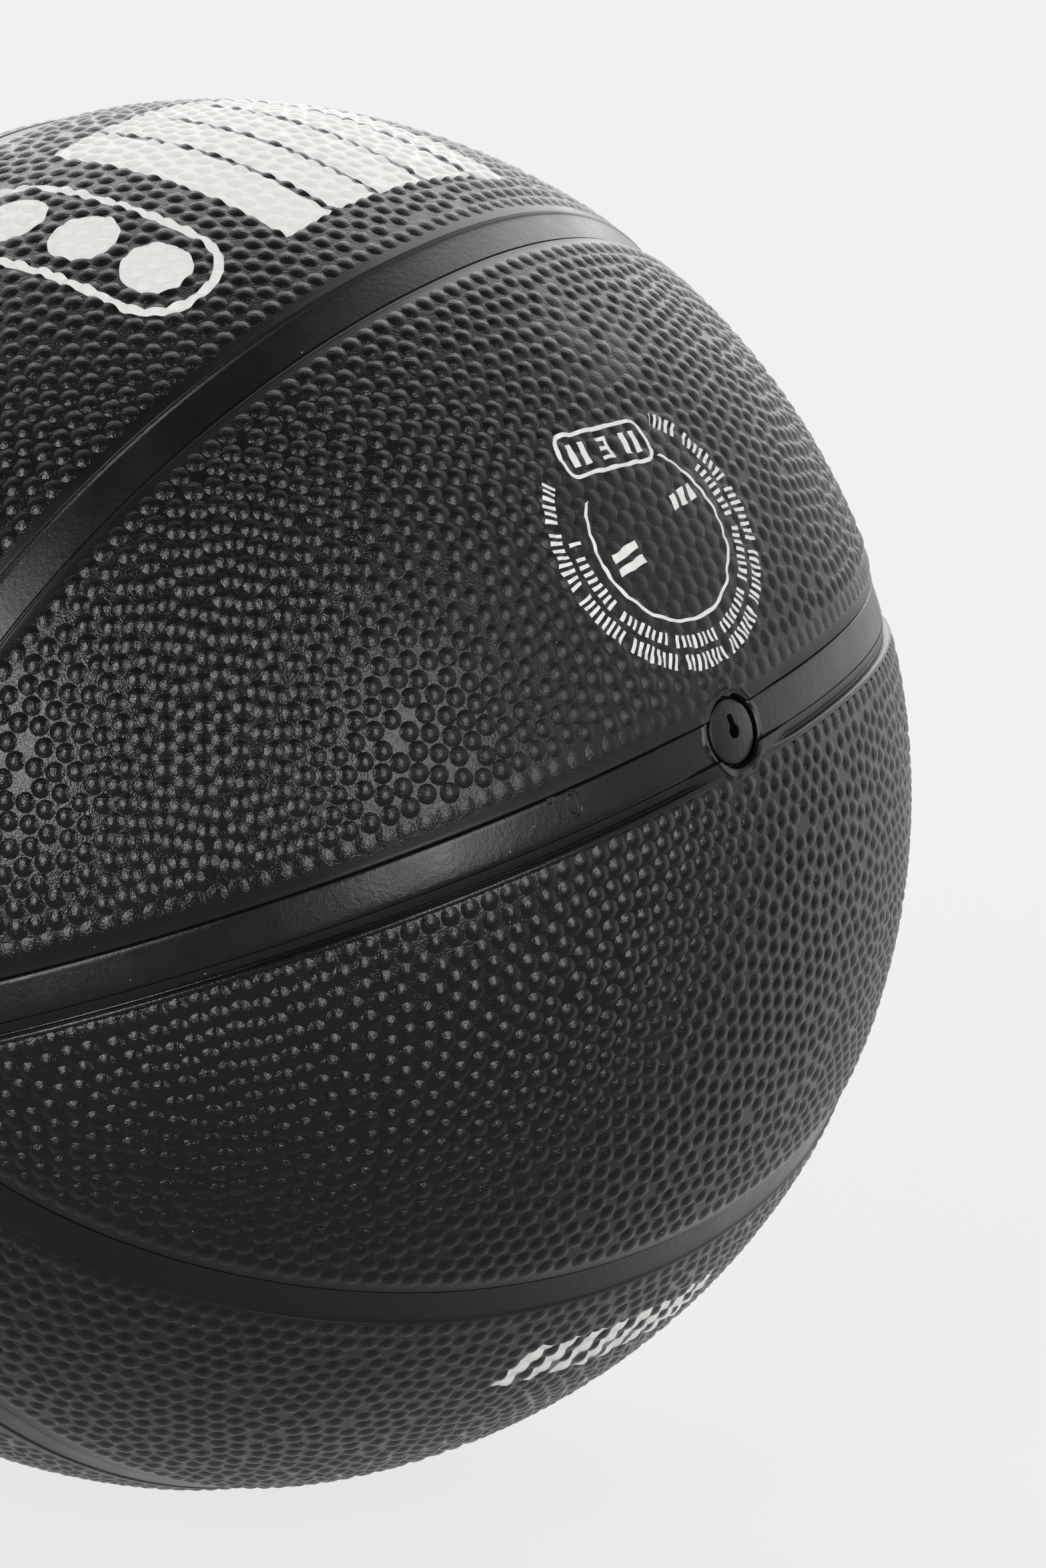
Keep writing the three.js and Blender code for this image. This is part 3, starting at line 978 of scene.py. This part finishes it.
class Print:
    """Shapes in millimetres on the flat frame of one print. Their edges fade over twice soft."""

    def __init__(self, graph, place, axes, soft=0.02):
        self.graph = graph
        self.soft = soft
        self.u, self.v, depth = (place.vector("DOT_PRODUCT", tuple(axis)) / MM for axis in axes)
        self.facing = depth > least_depth

    def within(self, distance, limit):
        """1 where the distance is below the limit."""
        return self.graph.step(distance, limit + self.soft, limit - self.soft)

    def bar(self, middle, size, slant=0.0):
        across = abs(self.u - middle[0] - (self.v - middle[1]) * slant)
        along = abs(self.v - middle[1])
        return self.within(across, size[0] / 2) * self.within(along, size[1] / 2)

    def away(self, middle):
        side, up = self.u - middle[0], self.v - middle[1]
        return (side * side + up * up).math("SQRT")

    def disc(self, middle, radius):
        return self.within(self.away(middle), radius)

    def ring(self, middle, radius, width):
        return self.within(abs(self.away(middle) - radius), width / 2)

    def frame(self, middle, size, corner, width):
        """The outline of a box with round corners."""
        side = (abs(self.u - middle[0]) - (size[0] / 2 - corner)).math("MAXIMUM", 0.0)
        up = (abs(self.v - middle[1]) - (size[1] / 2 - corner)).math("MAXIMUM", 0.0)
        return self.within(abs((side * side + up * up).math("SQRT") - corner), width / 2)

    def ticks(self, middle, radii, count, share, gap):
        """Groups of ticks round a circle, left out within an angle of straight up."""
        side, up = self.u - middle[0], self.v - middle[1]
        angle = side.math("ARCTAN2", up)
        band = abs(self.away(middle) - (radii[0] + radii[1]) / 2) < (radii[1] - radii[0]) / 2
        tick = (angle * (count / (2 * pi)) + whole_turns).math("FRACT") < share
        group = (angle * (count / (2 * pi) / ticks_in_a_group) + whole_turns).math("FRACT") < group_share
        return band * tick * group * (abs(angle) > gap)

    def all_of(self, shapes):
        total = shapes[0]
        for shape in shapes[1:]:
            total = total.math("MAXIMUM", shape)
        return total * self.facing


print("a print's axes", [tuple(round(x, 2) for x in axis) for axis in print_axes(66, 90)])

# %% The shapes of each print
# The middle and the size of each stroke, for a digit that is one wide and two high.
digit_strokes = {
    "1": [((0, 0), (0.34, 2)), ((-0.25, 0.83), (0.5, 0.34))],
    "3": [((0.38, 0), (0.34, 2)), *(((0, v), (1.1, 0.34)) for v in (0.83, 0, -0.83))],
}
# A 0 is a box with round corners.
digit_pitch = 1.5
zero_height = 1.7
zero_corner = 0.5
zero_stroke = 0.3


def number(area, digits, high):
    """The strokes of a number in the middle of a print. high is half of its height."""
    strokes = []
    for i, digit in enumerate(digits):
        left = (i - (len(digits) - 1) / 2) * digit_pitch * high
        if digit == "0":
            box = (high, zero_height * high)
            strokes.append(area.frame((left, 0), box, zero_corner * high, zero_stroke * high))
            continue
        for middle, size in digit_strokes[digit]:
            where = (left + middle[0] * high, middle[1] * high)
            strokes.append(area.bar(where, (size[0] * high, size[1] * high)))
    return strokes


def big_print(graph, place):
    """Tall bars with slots between them, and an outline with discs in it."""
    area = Print(graph, place, print_axes(66, 90))
    widths = ((-6.2, 8.4), (2.6, 7.4), (11.6, 8.8), (21.0, 8.2), (29.4, 6.2))
    bars = [area.bar((u, 0.3), (width, 38.2)) for u, width in widths]
    discs = [area.disc((-25, v), 4.4) for v in (-10.5, 1, 12.5)]
    return area.all_of([*bars, *discs, area.frame((-25, 1), (14.4, 37.5), 6.5, 1.15)])


def ring_print(graph, place):
    """Two circles of ticks round a thin one."""
    area = Print(graph, place, print_axes(16.5, 86, 8))
    return area.all_of([
        area.ticks((0, 0), (15.2, 17.1), 108, 0.5, 0.72),
        area.ticks((0, 0), (12.9, 14.4), 90, 0.5, 1.2),
        area.ring((0, 0), 11.1, 0.45) * (area.v < 8.0),
        *(area.bar((-7.0, v), (4.6, 1.1), 0.1) for v in (-1.4, 0.5)),
        *(area.bar((u, 2.2), (1.1, 2.1), 0.2) for u in (5.1, 7.0, 8.9)),
    ])


def size_print(graph, place):
    """A plain size number between two pairs of bars, in an outline."""
    area = Print(graph, place, print_axes(24.4, 88, -8))
    bars = [area.bar((u, 0), (0.95, 2.9)) for u in (-5.4, -3.6, 3.6, 5.4)]
    return area.all_of([*number(area, "3", 1.55), *bars, area.frame((0, 0), (14.6, 5.4), 1.4, 0.55)])


def lower_print(graph, place):
    """A row of slanted bars."""
    area = Print(graph, place, print_axes(56, -92, 180))
    return area.all_of([area.bar((-24 + i * 4.4, 0), (2.4, 8.5), 0.3) for i in range(8)])


print(len(digit_strokes), "digits can be written")

# %% [markdown]
# ## Rubber
#
# Carbon black makes rubber nearly black, so almost all that the eye sees is reflection. What tells
# this rubber from black plastic is its surface: a fine grain from the mould, duller rubber near the
# valve, shine that comes and goes, and a few specks of dust. A picture of rubber could give all that,
# but it would repeat, so noise makes it. The grain is bump and stays shallow, because steep bump
# mirrors every light at once and turns the rubber grey.

# %% What the rubber surfaces share
white_print = (0.82, 0.815, 0.79, 1)
rubber_black = (0.007, 0.007, 0.0072, 1)
rubber_gloss = {"IOR": 1.5}
dust_colour = (0.42, 0.4, 0.37, 1)
dust_scale = 700.0
clean_share = 0.7  # of the cells in the dust pattern
dust_size = 0.2
rim_radius = 5.1  # millimetres, as all relief in the bump
rim_width = 0.5
rim_height = 0.35
rim_stray = (260.0, 2.0 * MM, 1.0)  # the scale, the reach and the detail of the noise that bends it
rim_softness = 0.4


def surface(graph, settings, inputs):
    """A Principled surface with constant settings and inputs that vary."""
    result = graph.add("ShaderNodeBsdfPrincipled", None, {**settings, **inputs}, "BSDF")
    graph.add("ShaderNodeOutputMaterial", None, {"Surface": result})


def mix_colours(graph, share, first, second):
    """The first colour where share is 0 and the second where it is 1."""
    settings = {"data_type": "RGBA"}
    return graph.add("ShaderNodeMix", settings, {"Factor": share, "A": first, "B": second}, "Result")


def bump(graph, height, distance):
    inputs = {"Height": height, "Distance": distance, "Strength": 1.0}
    return graph.add("ShaderNodeBump", None, inputs, "Normal")


def dust(graph, place):
    """Small specks, one at most in each cell of a Voronoi pattern."""
    settings = {"feature": "F1"}
    inputs = {"Vector": place, "Scale": dust_scale}
    cells = graph.add("ShaderNodeTexVoronoi", settings, inputs, "Distance")
    chance = graph.part(graph.add("ShaderNodeTexVoronoi", settings, inputs, "Color"), "X")
    return cells < (chance - clean_share).math("MAXIMUM", 0.0) * dust_size


def object_place(graph):
    return graph.add("ShaderNodeTexCoord", output="Object")


def valve_rim(graph, place):
    """The raised and uneven edge that the mould leaves round the valve."""
    area = Print(graph, graph.strayed(place, *rim_stray), print_axes(0, 90), rim_softness)
    return area.ring((0, 0), rim_radius, rim_width) * area.facing * rim_height


print("the rim round the valve is", rim_height, "mm high")

# %% Cover rubber
# The scale, the detail and the height in millimetres of each noise in the grain.
fine_grain = (7500.0, 1.0, 0.025)
coarse_grain = (3200.0, 2.0, 0.075)
uneven_grain = (420.0, 1.0, 0.03)
coarse_on_top = 0.85
# How much of the grain is left where a mask is 1, and how much rougher the surface is there.
grain_left = {"border": 0.12, "near valve": 0.7, "paint": 0.2}
rougher = {"border": 0.14, "top": 0.02, "paint": 0.2, "near valve": 0.05, "above valve": 0.16}
least_roughness = 0.175
greasy_noise = (110.0, 3.0)
greasy_reach = 0.2
paint_stray = (420.0, 0.5 * MM)  # the edges of the paint aren't quite straight
top_range = (0.12, pebble_height - 0.08)  # a pebble's top begins between these heights
valve_range = (20.0, 65.0)  # the mask round the valve fades between these distances


def cover_masks(graph, place):
    """Where the cover differs. Each mask is 1 there and 0 elsewhere."""
    print_place = graph.strayed(place, *paint_stray)
    prints = [make(graph, print_place) for make in (big_print, ring_print, size_print, lower_print)]
    paint = prints[0]
    for one in prints[1:]:
        paint = paint.math("MAXIMUM", one)
    grainy = graph.add("ShaderNodeAttribute", {"attribute_name": "grain"}, None, "Fac")
    low, high = (ground_radius / MM + level for level in top_range)
    from_valve = place.vector("DISTANCE", tuple(ball_turn @ Vector((ball_radius, 0, 0)))) / MM
    near_valve = 1 - graph.step(from_valve, *valve_range)
    from_seam = place.vector("DOT_PRODUCT", tuple(ball_turn @ Vector((0, 0, 1)))) / MM
    return {
        "paint": paint,
        "border": 1 - grainy,
        "top": graph.step(place.vector("LENGTH") / MM, low, high),
        "near valve": near_valve,
        "above valve": near_valve * graph.step(from_seam, -1.0, 1.0),
    }


def cover_relief(graph, place, masks):
    """The grain, and the rim round the valve."""
    fine, coarse, uneven = (
        graph.noise(place, scale, detail) * height
        for scale, detail, height in (fine_grain, coarse_grain, uneven_grain)
    )
    grain = fine + coarse * masks["top"].between(1, coarse_on_top) + uneven
    for name, left in grain_left.items():
        grain = grain * masks[name].between(1, left)
    return grain + valve_rim(graph, place)


def cover_rubber_nodes():
    """Grainy rubber with the white prints on it."""
    cover_rubber.use_nodes = True
    graph = Graph(cover_rubber.node_tree)
    place = object_place(graph)
    masks = cover_masks(graph, place)
    colour = mix_colours(graph, dust(graph, place), rubber_black, dust_colour)
    colour = mix_colours(graph, masks["paint"], colour, white_print)
    roughness = least_roughness + (graph.noise(place, *greasy_noise) - 0.5) * greasy_reach
    for name, more in rougher.items():
        roughness = roughness + masks[name] * more
    normal = bump(graph, cover_relief(graph, place, masks), 1.0 * MM)
    surface(graph, rubber_gloss, {"Base Color": colour, "Roughness": roughness, "Normal": normal})


cover_rubber_nodes()
print("cover rubber has", len(cover_rubber.node_tree.nodes), "nodes")

# %% Strip and valve rubber
valve_black = (0.009, 0.009, 0.007, 1)
skin_noise = (6500.0, 2.0)
swell_noise = (1500.0, 3.0)
swell_share = 2  # of the skin's height
mottled_noise = (160.0, 4.0)
mottled_reach = 0.3
number_frame = (18.1, 178.4, -90)  # the moulded number reads along the strip
number_softness = 0.12
number_depth = 0.25
number_half_height = 1.6


def smooth_rubber_nodes(material, roughness, grain_height, colour=rubber_black, mould_number=""):
    """Rubber from a smooth part of the mould, with mottled shine and a fine grain."""
    material.use_nodes = True
    graph = Graph(material.node_tree)
    place = object_place(graph)
    relief = graph.noise(place, *skin_noise) + graph.noise(place, *swell_noise) * swell_share
    relief = relief * (grain_height / MM)
    if mould_number:
        area = Print(graph, place, print_axes(*number_frame), number_softness)
        sunk = area.all_of(number(area, mould_number, number_half_height)) * number_depth
        relief = relief - sunk + valve_rim(graph, place)
    roughness = roughness + (graph.noise(place, *mottled_noise) - 0.5) * mottled_reach
    tint = mix_colours(graph, dust(graph, place), colour, dust_colour)
    normal = bump(graph, relief, 1.0 * MM)
    surface(graph, rubber_gloss, {"Base Color": tint, "Roughness": roughness, "Normal": normal})


smooth_rubber_nodes(strip_rubber, 0.3, 0.02 * MM, mould_number="10")
smooth_rubber_nodes(valve_rubber, 0.34, 0.035 * MM, valve_black)
print("strip rubber has", len(strip_rubber.node_tree.nodes), "nodes")

# %% [markdown]
# ## Inner layers
#
# The layers under the cover are never seen. They could be modelled anew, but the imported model's own
# shapes are enough, so they only get the finish that they have in a real ball: slightly shiny butyl
# for the bladder and its valve seat, pale wound nylon, and plain rubber for the carcass.

# %% Inner materials
butyl = (0.014, 0.013, 0.013, 1)
plain_rubber = (0.02, 0.018, 0.016, 1)
thread_colours = ((0.42, 0.4, 0.35, 1), (0.62, 0.6, 0.54, 1))
windings = {"Scale": 900.0, "Distortion": 6.0}


def wound_nylon_nodes(material):
    """Pale thread, wound in all directions."""
    material.use_nodes = True
    graph = Graph(material.node_tree)
    place = object_place(graph)
    wave = graph.add("ShaderNodeTexWave", None, {"Vector": place, **windings}, "Fac")
    colour = mix_colours(graph, wave, *thread_colours)
    normal = bump(graph, wave, 0.1 * MM)
    surface(graph, rubber_gloss, {"Base Color": colour, "Roughness": 0.55 + wave * 0.1, "Normal": normal})


inner_materials = {
    name: bpy.data.materials.new(name) for name in ("bladder_rubber", "carcass_rubber", "nylon_thread")
}
smooth_rubber_nodes(inner_materials["bladder_rubber"], 0.35, 0.006 * MM, butyl)
smooth_rubber_nodes(inner_materials["carcass_rubber"], 0.6, 0.02 * MM, plain_rubber)
wound_nylon_nodes(inner_materials["nylon_thread"])
inner_finish = {
    "bladder": "bladder_rubber",
    "valve_seat": "bladder_rubber",
    "thread_winding": "nylon_thread",
    "carcass": "carcass_rubber",
}
for node, finish in inner_finish.items():
    piece = bpy.data.objects[node]
    piece.data.materials.clear()
    piece.data.materials.append(inner_materials[finish])
    print(node, "has", finish)

# %% [markdown]
# ## Studio
#
# Black rubber shows little but what it mirrors. A picture of a real room could surround it, but lamps
# can be placed one by one, by their shapes in the rubber. Two tall soft boxes stand left and right of
# the camera, at about its height, and draw the two bands of sheen; between them the room is dark. A
# third light behind the ball and the pale surroundings there give the bright rim. The floor is white
# by itself for the camera, so that it stays even, and is also partly a lit surface, which keeps the
# ball's shadow. In reflections the floor in front of the ball glows a dim grey instead: painted
# shade, for the light that the ball and the dark camera side keep off it.

# %% Camera
picture_size = (1568, 2350)
ball_in_picture = (326, 1191.5)  # the ball's middle, in pixels
focal_pixels = 11047
camera_distance = 0.944
camera_rise = radians(11.2)
film_height = 36  # millimetres, along the longer side of the picture
ball_middle = (cad_low + cad_high) / 2

right_shift = ball_in_picture[0] - picture_size[0] / 2
down_shift = ball_in_picture[1] - picture_size[1] / 2
camera = bpy.data.objects.new("camera", bpy.data.cameras.new("camera"))
bpy.context.scene.collection.objects.link(camera)
camera.data.sensor_width = film_height
camera.data.lens = film_height * focal_pixels / picture_size[1]
camera.data.clip_end = 50
towards_camera = Vector((0, -cos(camera_rise), sin(camera_rise)))
facing_ball = Matrix.Rotation(pi / 2 - camera_rise, 4, "X")
aside = Matrix.Rotation(atan2(right_shift, focal_pixels), 4, "Y")
tilt = Matrix.Rotation(atan2(down_shift, hypot(focal_pixels, right_shift)), 4, "X")
camera_place = Matrix.Translation(ball_middle + towards_camera * camera_distance)
camera.matrix_world = camera_place @ facing_ball @ aside @ tilt
bpy.context.scene.camera = camera
print("lens", round(camera.data.lens, 1), "mm")

# %% Floor
floor_level = cad_low.z
studio_white = 0.879
# painted shade: in reflections the floor in front of the ball glows only this share of white, for the light
# that the ball and the dark camera side keep off it
painted_front_shade = 0.14  # the floor in front of the ball mirrors as a dim grey
front_edge = (-0.125, 0.03)  # the mirrored floor turns white between these places on the Y axis
shadow_share = 0.12  # how much of the floor's light near the ball comes from the lamps
shadow_reach = (0.1, 0.5)  # this share fades between these distances from the ball
lit_grey = (0.85, 0.85, 0.85, 1)


def studio_surface(name, lit_share):
    """White by itself for the camera and behind the ball in reflections; in reflections in front of the
    ball a dim grey, as painted shade; lit by the lamps for the rest.
    """
    material = bpy.data.materials.new(name)
    material.use_nodes = True
    graph = Graph(material.node_tree)
    seen = graph.add("ShaderNodeLightPath", output="Is Camera Ray")
    mirrored = graph.add("ShaderNodeLightPath", output="Is Glossy Ray")
    through = graph.add("ShaderNodeLightPath", output="Is Transmission Ray")
    direct = seen.math("MAXIMUM", mirrored).math("MAXIMUM", through)
    place = object_place(graph)
    flat = place.vector("MULTIPLY", (1.0, 1.0, 0.0))
    near = 1 - graph.step(flat.vector("LENGTH"), *shadow_reach)
    lit = graph.add("ShaderNodeBsdfDiffuse", None, {"Color": lit_grey}, "BSDF")
    # painted shade in reflections: a dim grey in front of the ball, white behind it
    behind = graph.step(graph.part(place, "Y"), *front_edge)
    brightness = seen.between(behind.between(painted_front_shade, 1), 1) * studio_white
    glow = graph.add("ShaderNodeEmission", None, {"Color": graph.grey(brightness)}, "Emission")
    share = direct * (1 - near * lit_share)
    result = graph.add("ShaderNodeMixShader", None, {"Fac": share, 1: lit, 2: glow}, "Shader")
    graph.add("ShaderNodeOutputMaterial", None, {"Surface": result})
    return material


def plane(name, corners, material):
    mesh = bpy.data.meshes.new(name)
    mesh.from_pydata(corners, [], [(0, 1, 2, 3)])
    mesh.materials.append(material)
    thing = put_in_scene(name, mesh)
    return thing


floor_half = 5.0
corner_signs = ((-1, -1), (1, -1), (1, 1), (-1, 1))
floor_corners = [(x * floor_half, y * floor_half, floor_level) for x, y in corner_signs]
plane("floor", floor_corners, studio_surface("floor_white", shadow_share))
print("floor at", round(floor_level / MM, 1), "mm")

# %% Lights
def soft_light(name, direction, distance, size, strength):
    """A flat light that faces the ball. strength is the light that it casts on the ball."""
    data = bpy.data.lights.new(name, "AREA")
    data.shape = "RECTANGLE"
    data.size, data.size_y = size
    data.energy = strength * pi * pi * distance**2
    light = bpy.data.objects.new(name, data)
    bpy.context.scene.collection.objects.link(light)
    direction = Vector(direction).normalized()
    light.location = ball_middle + direction * distance
    light.rotation_euler = direction.to_track_quat("Z", "Y").to_euler()
    return light


def from_camera_axes(right, up, back):
    """A direction given as the camera sees it, in the scene's frame."""
    rise_sin, rise_cos = sin(camera_rise), cos(camera_rise)
    return Vector((right, up * rise_sin - back * rise_cos, up * rise_cos + back * rise_sin))


# Where each light is, as the camera sees it, then its distance, its size and its strength.
lamps = {
    "right_light": ((0.51, 0.03, 0.86), 1.3, (0.4, 1.2), 0.55),
    "left_light": ((-0.57, 0.0, 0.82), 1.3, (0.42, 1.2), 0.75),
    "back_light": ((0.1, 0.75, -0.66), 1.5, (1.6, 1.6), 0.55),
}
for name, (seen_from, distance, size, strength) in lamps.items():
    soft_light(name, from_camera_axes(*seen_from), distance, size, strength)
print(len(bpy.data.lights), "lights")

# %% The room
dark_room = 0.022  # the grey in front of the ball
pale_room = 0.95  # how much lighter it is behind the ball
side_room = 0.4  # and on its right
behind_range = (-0.2, 0.65)
beside_range = (0.45, 0.95)
world = bpy.data.worlds.new("studio")
bpy.context.scene.world = world
world.use_nodes = True
graph = Graph(world.node_tree)
seen = graph.add("ShaderNodeLightPath", output="Is Camera Ray")
direction = graph.add("ShaderNodeTexCoord", output="Generated")
behind = graph.step(graph.part(direction, "Y"), *behind_range)
beside = graph.step(graph.part(direction, "X"), *beside_range)
room = dark_room + behind * pale_room + beside * side_room
inputs = {"Color": graph.grey(seen.between(room, studio_white)), "Strength": 1.0}
background = graph.add("ShaderNodeBackground", None, inputs, "Background")
graph.add("ShaderNodeOutputWorld", None, {"Surface": background})
bpy.context.scene.view_settings.view_transform = "Standard"
print("the camera sees a grey of", studio_white)
